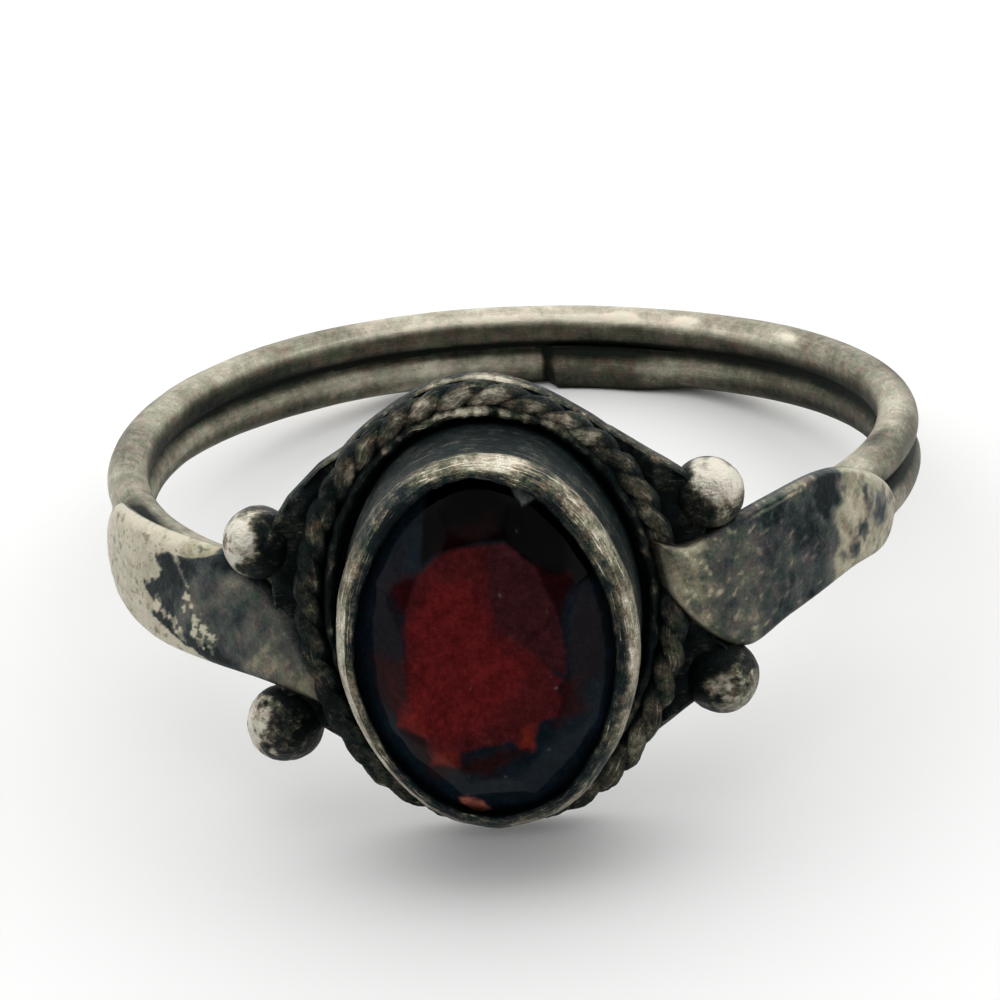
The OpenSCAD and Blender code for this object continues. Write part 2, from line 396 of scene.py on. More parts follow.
def wire_tone(ph, al, up, side):
    """Patina of one wire, with painted highlights and shade, but for its joint."""
    deg, turn = np.degrees(al), np.degrees(np.arctan2(np.sin(ph), np.cos(ph)))
    arc = BAND_R * np.sin(ph)
    off = np.abs(arc)
    seam = -side * WIRE_UP
    tone = 0.05 + 0.95 * hill(up, seam, 0.17) + 0.3 * smooth(0.25, 0.9, off / BAND_R)
    # Tarnish and painted shade on the inner side, heavier on the upper wire, and low on the lower one
    if side > 0:
        limit, spread = np.interp(arc, *TARNISH_AND_SHADE_FROM), 13 + 8 * smooth(2, 5, off)
        heavy = 0.6 - 0.1 * smooth(2, 5, off)
        tone = tone + heavy * smooth(limit - spread, limit + spread, deg) * smooth(-0.05, 0.3, -np.cos(al))
    else:
        tone = tone + 0.16 * smooth(0.5, 0.98, -np.cos(al))
        tone = tone + inner_side(al) * (0.3 * smooth(0.25, -0.4, np.sin(al)) + 0.13 * np.sin(ph))
    # A highlight is painted along the top, brightest at the back; the lower wire's top is painted lighter
    reach = 138 + 20 * smooth(2, 4, off)
    painted_light_shade = np.interp(off, *TOP_PAINTED_SHADE) if side > 0 else -0.18
    tone = tone + painted_light_shade * smooth(0.3, 0.85, np.sin(al)) * smooth(reach, reach - 22, deg)
    # Painted light and shade on the outside: it is bright where it faces the front at the left, and the
    # groove there is dark at the right
    painted_light_shade = 0.3 * smooth(-0.62, -0.3, np.cos(ph)) * smooth(-112, -70, turn) - 0.15
    tone = tone + painted_light_shade * smooth(0.1, 0.7, np.cos(al)) * smooth(0.5, 0.9, off / BAND_R)
    tone = tone + 0.6 * hill(up, seam, 0.16) * smooth(0.2, 0.6, np.cos(al)) * bump(ph, 112, 16)
    tone = tone + 0.16 * noise(np.stack([arc * 0.45, np.cos(ph) * 4, 0.6 * np.sin(al) + side], -1), 23)
    if side > 0:
        for at, width, dark, low in TOP_PATCHES:
            tone = tone + dark * bump(ph, at, width) * smooth(low, 0.7, np.sin(al))
        # Dark spots, and painted glints
        for at, width, at_wire, width_wire, dark in SPOTS_AND_GLINTS:
            tone = tone + dark * bump(ph, at, width) * hill(deg, at_wire, width_wire)
        # Painted shade in the crease where the upper wire meets the left leaf
        limit = np.interp(turn, *CREASE_SHADE_TO)
        crease_shade = smooth(-112, -118, turn) * smooth(-152, -140, turn) * smooth(limit + 16, limit - 12, deg)
        tone = tone + 0.9 * crease_shade * (np.sin(al) > 0)
    return tone


def wire(name, side):
    """One wire of the band: side is 1 for the upper one and -1 for the lower one."""
    ph, al = np.meshgrid(PHI, ALPHA, indexing="ij")
    arc, lower = BAND_R * np.sin(ph), side < 0
    er = np.stack([np.sin(ph), np.cos(ph), 0 * ph], -1)
    # The lower wire is thicker at its joint, and lies closer to the other at the left
    joint = lower * smooth(2, 4.5, np.degrees(ph)) * (1 - smooth(16, 28, np.degrees(ph)))
    close = lower * bump(ph, -72, 20)
    base = (BAND_R - 0.15 * joint)[..., None] * er
    base[..., 2] = side * WIRE_UP + WARP[:, None] + 0.1 * close
    lumps = fbm(np.stack([np.sin(ph) * 3, np.cos(ph) * 3, np.cos(al) * 0.8 + side * 5], -1), 3, 7)
    droop = joint * hill(np.degrees(al), 232, 32)
    r = WIRE_R * (1 + 0.025 * lumps + 0.1 * joint + 0.17 * droop - 0.06 * close)
    out, up = r * np.cos(al), r * np.sin(al)
    # Beside the joint, the lower wire's inner side has a nick and a filed stretch
    beside = lower * inner_side(al) * (np.cos(ph) > 0)
    nick = hill(arc, 0.47, 0.11) * beside
    filed = smooth(0.5, 0.7, arc) * (1 - smooth(2.6, 3.2, arc)) * beside
    out = out + 0.1 * nick
    # The inner side is worn flat, and solder fills the bottom of its groove
    worn = -(WIRE_R - 0.05)
    out = np.where(out < worn, worn + 0.25 * (out - worn), out)
    solder = -0.29 + 0.03 * noise(np.stack([arc * 1.5, 0 * arc + side, up * 2], -1), 19)
    groove = (np.cos(al) < 0) & (side * np.sin(al) < -0.5)
    out = np.where(groove, np.minimum(out, solder), out)
    p = base + er * out[..., None]
    p[..., 2] += up
    # The band is filed off inside the plate
    p[..., 1] = np.maximum(p[..., 1], -(PLATE_TOP - 0.05))
    tone = wire_tone(ph, al, up, side) + 0.9 * nick + 0.22 * filed
    along = np.stack([BAND_R * ph, WIRE_R * al, 0 * ph + 10 * side], -1)
    faces = grid(len(PHI), len(ALPHA), True, True)
    return piece(name, p.reshape(-1, 3), faces, BAND, tone.ravel(), grain=along)


# Plate: an oval with straight-sided wings that carry the balls
WING = np.array([
    [2.85, 3.9], [4.5, 2.7], [5.05, 1.8], [4.82, 1.45], [4.8, 0], [4.82, -1.2], [5.15, -1.5], [5.0, -2.0],
    [4.5, -2.55], [2.8, -3.8], [-2.8, -3.8], [-4.5, -2.55], [-5, -1.9], [-5, 1.9], [-4.5, 2.66],
    [-3.7, 3.42], [-2.8, 4.0],
])
# Rings from its back over its edge to its face: distance in from the edge, distance outwards
PLATE_RINGS = [(0.07, PLATE_BACK), (0.0, PLATE_BACK + 0.07), (-0.01, PLATE_TOP - 0.2),
               (0.0, PLATE_TOP - 0.06), (0.05, PLATE_TOP)]
PLATE_RINGS += [(d, PLATE_TOP) for d in (0.12, 0.22, 0.34, 0.5, 0.7, 0.9, 1.15, 1.4, 1.7, 2.0)]
RUBBED_RINGS, FIRST_ROUGH, FIRST_FACE = (3, 4), 2, 5

# The twisted border stands out from the true oval, pinched at its upper shoulders and fuller low down:
# angle, width, distance
BORDER_OUT = 1.4
BORDER_AT = (-0.11, -0.02)
BORDER_BUMPS = [(122, 24, -0.16), (58, 22, -0.19), (270, 34, -0.25), (222, 20, 0.02), (318, 20, 0.01),
                (292, 12, 0.1), (255, 9, 0.05)]


def polar(x, y, n):
    """n even angles about the middle, and the radius of a closed outline at each."""
    t = np.arctan2(y, x)
    o = np.argsort(t)
    t, r = t[o], np.hypot(x, y)[o]
    a = np.arange(n) / n * ROUND - math.pi
    return a, np.interp(a, [t[-1] - ROUND, *t, t[0] + ROUND], [r[-1], *r, r[0]])


def plate():
    n = 480
    turn = np.linspace(0, ROUND, 3000, endpoint=False)
    ox, oy = oval_at(turn, BORDER_OUT + bumps(turn, BORDER_BUMPS))
    a, r_oval = polar(ox + BORDER_AT[0], oy + BORDER_AT[1], n)
    w = np.concatenate([WING, WING[:1]])
    t = np.linspace(0, 1, 200, endpoint=False)[:, None]
    line = np.concatenate([w[i] * (1 - t) + w[i + 1] * t for i in range(len(WING))])
    r_wing = polar(line[:, 0], line[:, 1], n)[1]
    edge = np.maximum(r_oval, r_wing)
    wing = smooth(-0.05, 0.25, r_wing - r_oval)
    # The edge rings are rubbed a little lighter, and a highlight is painted along the edge at the top
    rubbed = 0.68 - 0.42 * bump(a, 88, 17)
    pts, tones = [], []
    for k, (d, h) in enumerate(PLATE_RINGS):
        r = edge - d
        q = np.stack([r * np.cos(a), r * np.sin(a), np.full(n, h)], -1)
        r = r + 0.02 * noise(q * 1.1, 33)
        if k >= FIRST_ROUGH:
            h = h + 0.02 * fbm(q * 1.3, 4, 31)
        if k >= FIRST_FACE:
            h = h + 0.11 * wing * fbm(q * 2.2, 4, 37)
        pts.append(head(r * np.cos(a), r * np.sin(a), h))
        tones.append((rubbed if k in RUBBED_RINGS else 0.8) + 0.1 * wing - 0.14 * bump(a, 38, 16))
    rings = len(PLATE_RINGS)
    faces = grid(rings, n, False, True).tolist()
    faces.append(list(range(n))[::-1])
    faces.append([(rings - 1) * n + i for i in range(n)])
    return piece("plate", np.concatenate(pts), faces, DARK, np.concatenate(tones))


def sweep(name, profile, n, at, material, wobble, tone_of):
    """Profile rows (distance out, height) swept round the oval. wobble and tone_of take the angle and row."""
    a, _ = oval_angles(n, 1.0)
    m = len(profile)
    pts, tones, marks = np.zeros((n, m, 3)), np.zeros((n, m)), np.zeros((n, m, 3))
    across = np.concatenate([[0], np.cumsum(np.hypot(*np.diff(np.array(profile), axis=0).T))])
    for j, (out, h) in enumerate(profile):
        do, dh = wobble(a, j)
        x, y = oval_at(a, out + do)
        pts[:, j] = head(x + at[0], y + at[1], h + dh)
        tones[:, j] = tone_of(a, j)
        marks[:, j] = np.stack([np.arange(n) / n * OVAL_ROUND, 0 * a + across[j], 0 * a], -1)
    faces = grid(n, m, True, True)
    return piece(name, pts.reshape(-1, 3), faces, material, tones.ravel(), sharp=50, grain=marks)


# Bezel: the middle's place, the wall's and the lip's distance out from the stone's outline
BEZEL_AT = (-0.04, 0.12)
WALL, LIP = 0.33, -0.14
# Its profile goes up the wall, over the shoulder, across the lip's top, and down the inside
BEZEL_ROWS = [
    (WALL + 0.02, PLATE_TOP - 0.05), (WALL, PLATE_TOP + 0.5), (WALL, PLATE_TOP + 1.2),
    (WALL, PLATE_TOP + 1.9), (WALL - 0.005, LIP_TOP - 0.80),
    (WALL + 0.012, LIP_TOP - 0.68), (WALL + 0.012, LIP_TOP - 0.58), (WALL - 0.01, LIP_TOP - 0.46),
    (WALL - 0.05, LIP_TOP - 0.34), (WALL - 0.11, LIP_TOP - 0.23), (WALL - 0.19, LIP_TOP - 0.13),
    (WALL - 0.28, LIP_TOP - 0.055), (LIP + 0.10, LIP_TOP - 0.01), (LIP + 0.04, LIP_TOP),
    (LIP, LIP_TOP - 0.04), (LIP + 0.01, LIP_TOP - 0.13), (LIP + 0.02, LIP_TOP - 0.28),
    (0.03, LIP_TOP - 0.42), (0.03, LIP_TOP - 0.8), (-0.3, LIP_TOP - 0.9), (-0.3, PLATE_TOP - 0.05),
]
LAST_WALL, LAST_SHOULDER, LAST_TOP, LAST_LIP = 4, 10, 13, 16
# Painted highlights on the rim, with painted shade where the amount is below zero, and where the lip was
# rubbed further out or in: angle, width, amount
RIM_HIGHLIGHTS = [(80, 28, 0.27), (194, 24, 0.4), (10, 34, 0.16), (136, 24, -0.4), (335, 20, -0.08),
             (48, 20, -0.2)]
LIP_RUBBED = [(96, 28, 0.13), (265, 35, 0.05), (72, 10, -0.05), (205, 40, 0.09), (20, 40, -0.05)]


def bezel():
    def wobble(a, j):
        h = BEZEL_ROWS[j][1]
        up = smooth(PLATE_TOP, LIP_TOP - 0.5, h)
        top = smooth(PLATE_TOP + 1.8, LIP_TOP - 0.5, h) if j < LAST_LIP else 0.0
        do = 0.02 * around(a, 1.3, 41) * (0.3 + top) + 0.12 * bump(a, 275, 46) * up
        do = do + (0.022 * around(a, 5, 42) + 0.010 * around(a, 13, 140 + j // 3)) * top
        if LAST_SHOULDER < j <= LAST_LIP:
            do = do - 0.01 + bumps(a, LIP_RUBBED) + 0.03 * around(a, 2.2, 43) + 0.024 * around(a, 9, 44)
        dh = (0.03 * around(a, 1.6, 45) + 0.022 * around(a, 7, 46 + j // 3)) * top
        return do, dh

    def tone(a, j):
        light = bumps(a, RIM_HIGHLIGHTS)
        if j <= LAST_WALL:
            return 1.05 - 0.03 * j + 0.06 * around(a, 2, 47)
        if j <= LAST_SHOULDER:
            # Shoulder: painted highlights and shade, and painted shade low down at the bottom
            return 0.54 - light + 0.12 * bump(a, 270, 40) + 0.3 * around(a, 3, 48)
        if j <= LAST_TOP:
            inward = j - LAST_SHOULDER - 1
            # Top: painted highlights and shade, and darker inwards at the top
            return 0.84 - 0.6 * light + 0.3 * around(a, 2.4, 49) + inward * 0.09 * bump(a, 90, 50)
        return 0.85 if j == LAST_TOP + 1 else 0.98

    return sweep("bezel", BEZEL_ROWS, 520, BEZEL_AT, RIM, wobble, tone)


# Border: radius of a strand, radius of its helix, and distance out and height of the helix's middle line
ROPE_R = 0.235
ROPE_OFF = 0.105
ROPE_OUT = BORDER_OUT - ROPE_R - ROPE_OFF + 0.02
ROPE_H = PLATE_TOP + 0.22
ROPE_TURNS = 18
# How much longer a strand is than its helix's middle line, and the height above that line where wear starts
ROPE_LONGER = 1.12
ROPE_CREST = 0.2


def rope_strand(name, start):
    """One of the two strands of the twisted border, as a tube on a helix round the oval."""
    n, m = 1500, 16
    a, length = oval_angles(n, ROPE_OUT)
    s = np.arange(n) / n
    twist = ROUND * (ROPE_TURNS * s + start) + 0.25 * around(a, 2.0, 51)
    off = ROPE_OFF * (1 + 0.06 * around(a, 6, 52))
    x, y = oval_at(a, ROPE_OUT + bumps(a, BORDER_BUMPS) + off * np.cos(twist))
    c = head(x + BORDER_AT[0], y + BORDER_AT[1], ROPE_H + off * np.sin(twist))
    d = np.roll(c, -1, 0) - np.roll(c, 1, 0)
    d /= np.linalg.norm(d, axis=1)[:, None]
    up = np.cross(d, np.array([0, -1.0, 0]))
    up /= np.linalg.norm(up, axis=1)[:, None]
    side = np.cross(d, up)
    b = np.arange(m) / m * ROUND
    r = ROPE_R * (1 + 0.09 * noise(np.stack([s * 70, 0 * s, 0 * s + start], -1), 53))
    spoke = np.cos(b)[None, :, None] * up[:, None] + np.sin(b)[None, :, None] * side[:, None]
    p = c[:, None] + r[:, None, None] * spoke
    # Worn where it stands highest, soldered down below
    crest = -p[..., 1] - ROPE_H
    flattened = -(ROPE_H + ROPE_CREST + 0.35 * (crest - ROPE_CREST))
    p[..., 1] = np.where(crest > ROPE_CREST, flattened, p[..., 1])
    p += 0.03 * np.stack([fbm(p * 2.6, 4, 54 + 7 * k) for k in range(3)], -1)
    high = smooth(0.0, 0.9, np.sin(a))[:, None]
    tone = 0.94 - (0.2 + 0.36 * high) * smooth(0.12, 0.30, crest) + 0.3 * fbm(p * 1.5, 2, 57) * high
    tone = tone + (0.15 * around(a, 3, 59) + 0.1 * bump(a, 180, 50) - 0.14 * bump(a, 345, 45))[:, None]
    flat = 0 * tone
    along = np.stack([flat + (s * ROPE_LONGER * length)[:, None], flat + ROPE_R * b, flat + 20 * start], -1)
    faces = grid(n, m, True, True)
    return piece(name, p.reshape(-1, 3), faces, DARK, tone.ravel(), sharp=60, grain=along)


# Thin wire at the bezel's foot: its place, its distance out and height, and half its width and height
INNER_AT = (-0.06, 0.05)
INNER_OUT, INNER_H = 0.63, PLATE_TOP + 0.27
INNER_HALF_W, INNER_HALF_H = 0.14, 0.28


def inner_wire():
    """The thin wire, raised and bright at the top."""
    m = 14
    b = np.arange(m) / m * ROUND
    rows = [(INNER_OUT + INNER_HALF_W * math.cos(t), INNER_H + INNER_HALF_H * math.sin(t)) for t in b]

    def wobble(a, j):
        raised = 0.10 * bump(a, 92, 32) - 0.08 * smooth(0.3, -0.2, np.sin(a))
        return (0.05 * around(a, 4, 61) + 0.05 * around(a, 17, 67 + j // 4),
                raised + 0.06 * around(a, 6, 62) + 0.07 * around(a, 17, 63 + j // 3))

    def tone(a, j):
        light = (0.2 + 0.5 * bump(a, 92, 30)) * max(0.0, math.sin(b[j] + 0.3))
        marks = 0.12 * bump(a, 180, 50) - 0.6 * bump(a, 97, 2)
        return 1.02 - light + 0.45 * around(a, 7, 64) + 0.4 * around(a, 21, 65) + marks

    return sweep("inner_wire", rows, 640, INNER_AT, DARK, wobble, tone)


# Balls: x, height, distance outwards and radius. Then the light painted on each: the direction it is painted
# brightest toward, how near that direction the painted highlight ends, the tone there, and how strongly the
# ball is spotted
BALLS = {
    "ball_upper_left": ((-5.23, 1.66, 8.80, 0.83), (-0.75, -0.5, 0.35), 1.0, 0.12, 0.45),
    "ball_lower_left": ((-5.01, -2.66, 8.95, 0.885), (-0.9, -0.35, 0.1), 0.98, 0.10, 0.5),
    "ball_upper_right": ((4.90, 2.21, 8.80, 0.82), (0.36, -0.62, 0.68), 1.05, -0.10, 0.18),
    "ball_lower_right": ((4.91, -2.13, 8.95, 0.85), (0.60, -0.7, -0.35), 0.85, 0.42, 0.4),
}
DENTS = 5


def ball(name, seed):
    """A hand-made ball with a few small dents on its front."""
    (x, z, f, r), way, near, bright, spotted = BALLS[name]
    n, m = 96, 56
    u = np.arange(n) / n * ROUND
    v = np.linspace(0, math.pi, m)
    uu, vv = np.meshgrid(u, v, indexing="ij")
    d = np.stack([np.cos(uu) * np.sin(vv), -np.cos(vv), np.sin(uu) * np.sin(vv)], -1)
    rad = r * (1 + 0.018 * fbm(d * 1.4 + seed, 3, 71) + 0.006 * fbm(d * 9 + seed, 2, 75))
    rng = np.random.default_rng(seed)
    for _ in range(DENTS):
        c = rng.normal(size=3)
        c[1] = -abs(c[1])
        c /= np.linalg.norm(c)
        rad = rad - r * 0.02 * np.exp(-((1 - d @ c) / 0.03))
    p = np.array([x, -f, z]) + d * rad[..., None]
    way = np.array(way) / np.linalg.norm(way)
    spots = smooth(0.18, 0.5, fbm(d * 1.6 - seed, 4, 79))
    # Painted light: the ball is bright toward its lit direction and painted darker away from it
    tone = bright + 0.85 * smooth(near, near - 0.75, d @ way + 0.35 * fbm(d * 2.2 + seed, 5, 77))
    tone = tone + spotted * spots
    return piece(name, p.reshape(-1, 3), grid(n, m, True, False), BALL, tone.ravel(), sharp=70)


# Leaves: outlines from the pointed tip, away from the setting and across the band
RIGHT_LEAF = [
    [-4.20, 1.50], [-3.95, 0.20], [-3.00, -1.00], [-2.10, -1.50], [-0.80, -1.12], [1.30, -0.76],
    [3.05, -0.80], [3.85, -0.10], [3.10, 0.78], [1.60, 1.58], [0.30, 1.87], [-1.20, 1.77],
    [-2.60, 1.50], [-3.50, 1.27],
]
LEFT_LEAF = [
    [-3.95, 2.05], [-3.55, 0.55], [-2.85, -0.45], [-2.00, -1.10], [-0.90, -1.34], [1.30, -1.26],
    [3.10, -1.10], [3.95, -0.92], [4.70, -0.40], [5.50, 0.55], [4.70, 1.28], [2.00, 1.62],
    [-0.40, 1.60], [-2.00, 1.65], [-3.20, 1.85],
]
# Their thickness, their radius, how far its centre lies in front of the ring's, and the angle round the band
LEAF_T, LEAF_R, LEAF_SHIFT, LEAF_ANGLE = 0.4, 9.52, 1.2, math.radians(44)
LEAF_DOME, LEAF_LUMPS = 0.10, 0.035
LEAF_STEPS = 14
# How far each leaf lies below its radius: from, to, by how much
RIGHT_SINK = [(1.6, 4.2, 0.1), (-2.2, -4.0, -0.12)]
LEFT_SINK = [(0.8, 3.4, -0.06)]


def outline(rows):
    """Smooth closed outline through the rows, with a corner at its first row."""
    p = np.array(rows + [rows[0]], float)
    n = len(rows)
    t = (np.arange(LEAF_STEPS) / LEAF_STEPS)[:, None]
    out = []
    for i in range(n):
        a, b, c, d = p[max(i - 1, 0)], p[i], p[i + 1], p[min(i + 2, n)]
        out.append(0.5 * (2 * b + (c - a) * t + (2 * a - 5 * b + 4 * c - d) * t * t
                          + (3 * b - a - 3 * c + d) * t ** 3))
    return np.concatenate(out)


def resample(p, n):
    """n points along the line p, closer together near its ends."""
    s = np.concatenate([[0], np.cumsum(np.linalg.norm(np.diff(p, axis=0), axis=1))])
    t = np.linspace(0, 1, n)
    t = (t + 0.5 - 0.5 * np.cos(math.pi * t)) / 2
    return np.stack([np.interp(t * s[-1], s, p[:, k]) for k in (0, 1)], -1)


def edge_distance(q, edge):
    """Distance of each point of the table q from the closed outline."""
    flat = q.reshape(-1, 2)[:, None]
    a = edge
    d = np.roll(edge, -1, 0) - a
    t = np.clip(((flat - a) * d).sum(-1) / np.maximum((d ** 2).sum(-1), 1e-12), 0, 1)
    return np.linalg.norm(flat - (a + t[..., None] * d), axis=-1).min(1).reshape(q.shape[:2])


def on_leaf(q, r, mirror):
    """Points of the flat leaf, bent round the leaf's cylinder of radius r, in the ring's frame."""
    c, s = math.cos(LEAF_ANGLE), math.sin(LEAF_ANGLE)
    base = q[..., :1] * np.array([c, s])
    way = np.array([s, -c])
    rel = base - np.array([0, -LEAF_SHIFT])
    b = rel @ way
    dist = -b + np.sqrt(np.maximum(b * b - (rel * rel).sum(-1) + r * r, 0))
    p = np.concatenate([base + dist[..., None] * way, q[..., 1:2]], -1)
    return p * np.array([-1, 1, -1]) if mirror else p


def leaf(name, rows, mirror, seed, soft, sinks, tone_of):
    """A curved plate with the outline's shape, domed a little, its edge rounded over the width soft."""
    edge = outline(rows)
    far = int(edge[:, 0].argmax())
    m, k = 200, 80
    low = resample(edge[:far + 1], m)
    high = resample(np.concatenate([edge[far:], edge[:1]])[::-1], m)
    v = (0.5 - 0.5 * np.cos(np.linspace(0, math.pi, k)))[None, :, None]
    q = low[:, None] * (1 - v) + high[:, None] * v
    dist = edge_distance(q, edge)
    e = np.clip(1 - dist / soft, 0, 1)
    drop = soft * (1 - np.sqrt(1 - e * e))
    dome = LEAF_DOME * (1 - hill(dist, 0, 0.55))
    q3 = np.concatenate([q, np.full(q.shape[:2] + (1,), seed * 3.1)], -1)
    lumps = LEAF_LUMPS * fbm(q3 * 0.8, 4, seed) * smooth(0, 0.3, dist)
    sink = sum(depth * smooth(start, end, q[..., 0]) for start, end, depth in sinks)
    outer = on_leaf(q, LEAF_R - drop + dome + lumps - sink, mirror)
    inner = on_leaf(q, LEAF_R - LEAF_T + 0.5 * drop, mirror)
    p = np.concatenate([outer.reshape(-1, 3), inner.reshape(-1, 3)])
    faces = grid(m, k).tolist() + grid(m, k, start=m * k, flip=True).tolist()
    for j in (0, k - 1):
        for i in range(m - 1):
            a, b = i * k + j, (i + 1) * k + j
            faces.append([a, b, b + m * k, a + m * k])
    tone = np.concatenate([tone_of(q, dist).ravel(), np.full(m * k, 0.8)])
    return piece(name, p, faces, LEAF, tone, sharp=55)


# Left leaf: how far out the worn end starts, by the place across the band
LEFT_WORN_FROM = ([-1.25, -1.02, -0.85, -0.05, 0.85, 1.05, 1.35, 1.6],
                  [-1.3, -0.35, 0.7, 1.4, 1.35, 0.55, -0.45, -1.0])
# Bright flecks on the left leaf: away from the setting, across the band, radius
LEFT_FLECKS = [
    (1.15, 0.48, 0.24), (0.90, 0.66, 0.15), (-0.14, 0.06, 0.15), (0.05, 0.27, 0.10), (0.52, 0.86, 0.18),
    (0.28, 1.04, 0.19), (-0.46, 0.52, 0.18), (-0.68, 0.66, 0.16), (-0.92, 0.82, 0.14), (-0.28, 0.84, 0.16),
    (-0.46, 1.04, 0.17), (-0.74, 1.12, 0.14),
]
# Right leaf: how far out the worn end starts, by the place across the band
RIGHT_WORN_FROM = ([-1.0, -0.4, 0.2, 0.95, 1.5, 1.9], [0.35, 0.4, 0.55, 0.65, 1.05, 1.3])
# Dark blotches on the right leaf: away from the setting, across the band, radius, how ragged
RIGHT_BLOTCHES = [(0.50, 1.42, 0.52, 0.4), (2.58, 0.3, 0.46, 0.2), (1.76, 0.1, 0.26, 0.3),
                  (1.95, 0.9, 0.24, 0.3), (1.3, -0.2, 0.3, 0.3)]


def tone_left(q, dist):
    """Patina of the left leaf: the worn end stops at a ragged edge, and black tarnish follows it. A highlight
    is painted along its edge.
    """
    x, y = q[..., 0], q[..., 1]
    q3 = np.stack([x, y, 0 * x], -1)
    rag, fine, chip = fbm(q3 * 1.3, 4, 91), fbm(q3 * 4.5, 2, 93), fbm(q3 * 5.0, 2, 90)
    b = x - np.interp(y, *LEFT_WORN_FROM) + 0.55 * rag
    t = 0.65 - 0.57 * smooth(-0.03, 0.16, b) + 0.22 * smooth(0.4, -0.9, x) * smooth(-0.9, -1.1, y)
    t = t + 0.5 * smooth(1.7, 0.7, -b) * smooth(0.12, -0.05, b) * smooth(-1.1, -0.6, y)
    # Bright flecks scraped through the tarnish, and a bright wedge that points down from the edge
    for cx, cy, r in LEFT_FLECKS:
        t = t - 0.62 * smooth(r, 0.7 * r, np.hypot(x - cx, y - cy) + 0.2 * chip)
    wedge = np.abs(x - 0.28 + 0.74 * (y + 1.0)) + 0.1 * fine - np.interp(y, [-1.1, -0.15], [0.14, 0.02])
    t = t - 0.62 * smooth(0.03, -0.03, wedge) * smooth(-1.25, -1.05, y) * smooth(-0.1, -0.3, y)
    # The tip is darker at the top and lighter at the bottom, with soft patches
    t = t + 0.16 * smooth(-0.6, -1.0, y) * smooth(-0.8, -1.8, x)
    t = t - 0.13 * smooth(0.0, 1.2, y) * smooth(-1.4, -2.8, x)
    patches = fbm(np.stack([0.45 * (x + y), 1.3 * (y - x), 0 * x + 3], -1), 3, 99)
    t = t + 0.22 * patches * smooth(0.0, -0.5, b)
    # A painted highlight along the edge, and dark specks on the worn end
    specks = smooth(0.33, 0.45, fine + 0.2 * rag) * smooth(0.15, 0.5, b)
    return t - 0.1 * smooth(0.1, 0.02, dist) + 0.3 * specks


def tone_right(q, dist):
    """Patina of the right leaf: a worn end, dark blotches, a lighter belly and tip, and painted highlights at
    its edge.
    """
    x, y = q[..., 0], q[..., 1]
    q3 = np.stack([x, y, 0 * x], -1)
    rag, fine = fbm(q3 * 1.2, 4, 95), fbm(q3 * 4.2, 2, 97)
    b = x - np.interp(y, *RIGHT_WORN_FROM) + 0.5 * rag
    t = 0.80 - 0.54 * smooth(-0.2, 0.28, b) + 0.14 * smooth(0.1, 0.5, rag) - 0.14 * smooth(-0.1, -0.5, rag)
    t = t + 0.2 * smooth(0.0, 0.45, fbm(q3 * 2.4, 3, 98)) * smooth(0.1, 0.4, b)
    belly = smooth(0.7, 0.1, dist + 0.3 * rag) * smooth(-1.5, -2.4, x) * smooth(1.1, 0.3, y)
    # Lighter belly and tip, and a highlight painted along the edge
    t = t - 0.30 * belly - 0.2 * smooth(0.09, 0.02, dist) - 0.22 * smooth(-3.0, -3.7, x)
    t = t - 0.17 * smooth(-1.2, -2.6, x)
    # A painted highlight: a bright line just inside the upper edge
    line = smooth(0.045, 0.02, np.abs(dist - 0.13 - 0.03 * rag))
    t = t - 0.35 * line * smooth(0.6, 1.1, y) * smooth(-2.1, -1.7, x) * smooth(-0.2, -0.7, x)
    for cx, cy, r, ragged in RIGHT_BLOTCHES:
        t = t + 0.48 * smooth(1.15 * r, 0.45 * r, np.hypot(x - cx, y - cy) + ragged * rag + 0.16 * fine)
    # Bright specks on the dark part
    return t - (0.06 * smooth(0.1, 0.4, fine) + 0.25 * smooth(0.5, 0.56, fine)) * smooth(0, -0.4, b)


parts = [wire("lower_wire", -1), wire("upper_wire", 1), plate(), bezel()]
parts += [rope_strand("border_strand_a", 0.0), rope_strand("border_strand_b", 0.5), inner_wire()]
parts += [ball(name, 100 + i) for i, name in enumerate(BALLS)]
parts += [leaf("right_leaf", RIGHT_LEAF, False, 5, 0.17, RIGHT_SINK, tone_right),
          leaf("left_leaf", LEFT_LEAF, True, 9, 0.28, LEFT_SINK, tone_left)]
for p in parts:
    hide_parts("silver_mount")


# Garnet: distances outwards of its table and of the girdle's two edges, and the depth of its pavilion
TABLE_H, GIRDLE_TOP, GIRDLE_LOW, PAVILION = 13.0, 12.05, 11.95, 1.9
# How far in from its outline the table starts, half the keel's length, and the place of its middle
TABLE_IN = 1.2
KEEL = 1.0
STONE_AT = (-0.04, 0.04)
# How steep its facets are: eight main ones from the girdle, sixteen small ones, eight round the table
MAIN_SLOPE, SMALL_SLOPE, STAR_SLOPE = 0.79, 1.0, 0.42
# The larger this is, the sharper the edges between the crown's facets
EDGE_SHARP = 70


def facet(a, out, x, y):
    """How far inside the parallel oval's tangent at the direction a the point lies."""
    ox, oy = oval_at(a, out)
    return ox * math.cos(a) + oy * math.sin(a) - x * math.cos(a) - y * math.sin(a)


def crown(x, y):
    """Height of the crown: the lowest of the facets' planes, with their edges a little rounded."""
    planes = [np.full_like(x, TABLE_H)]
    for k in range(8):
        a = k * math.pi / 4
        planes.append(GIRDLE_TOP + MAIN_SLOPE * facet(a, 0, x, y))
        planes.append(TABLE_H + STAR_SLOPE * facet(a + math.pi / 8, -TABLE_IN, x, y))
    for k in range(16):
        planes.append(GIRDLE_TOP + SMALL_SLOPE * facet((k + 0.5) * math.pi / 8, 0, x, y))
    h = np.stack(planes)
    low = h.min(0)
    return low - np.log(np.exp(-EDGE_SHARP * (h - low)).sum(0)) / EDGE_SHARP


